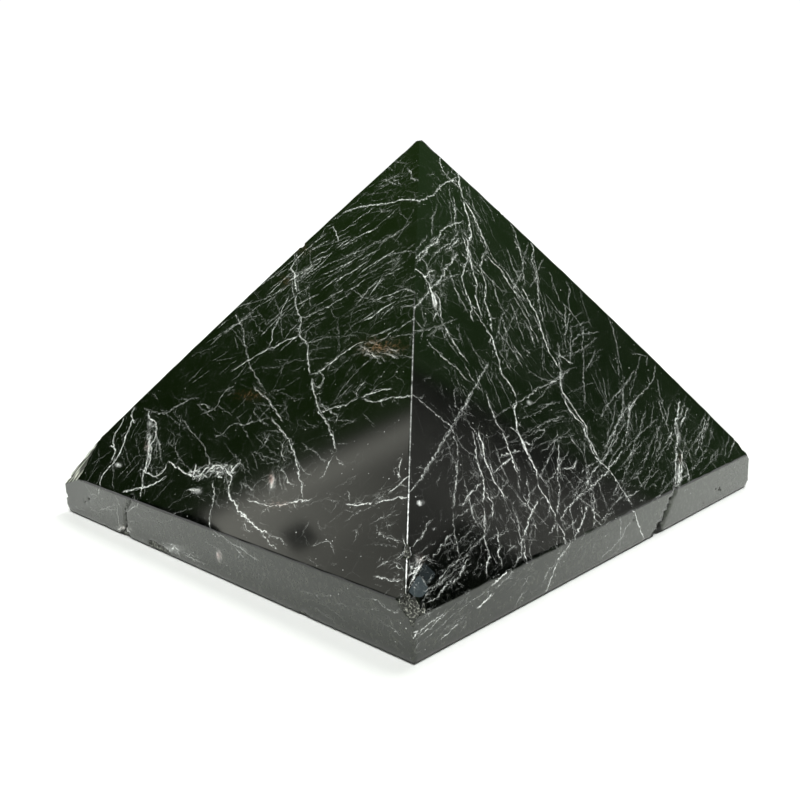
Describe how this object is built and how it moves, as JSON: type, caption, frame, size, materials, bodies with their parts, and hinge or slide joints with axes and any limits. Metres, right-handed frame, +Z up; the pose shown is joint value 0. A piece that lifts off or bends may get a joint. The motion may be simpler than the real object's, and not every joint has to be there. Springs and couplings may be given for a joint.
{
  "type": "black tourmaline pyramid",
  "caption": "Polished square pyramid cut from one black stone, with a low upright-sided base, crowned faces, pale veins and chipped corners and edges.",
  "frame": {"origin": "middle of the base, on the surface that the stone rests on", "axes": "+Z up to the apex; +X and +Y along the sides of the base, +Y along the slightly longer one; the chipped front corner is at +X, -Y"},
  "size_m": [0.08, 0.0814, 0.0578],
  "materials": {
    "stone": "polished near-black tourmaline with pale hairline veins, satin on the base's sides"
  },
  "bodies": {
    "root": {"tourmaline_pyramid": "stone"}
  },
  "joints": []
}
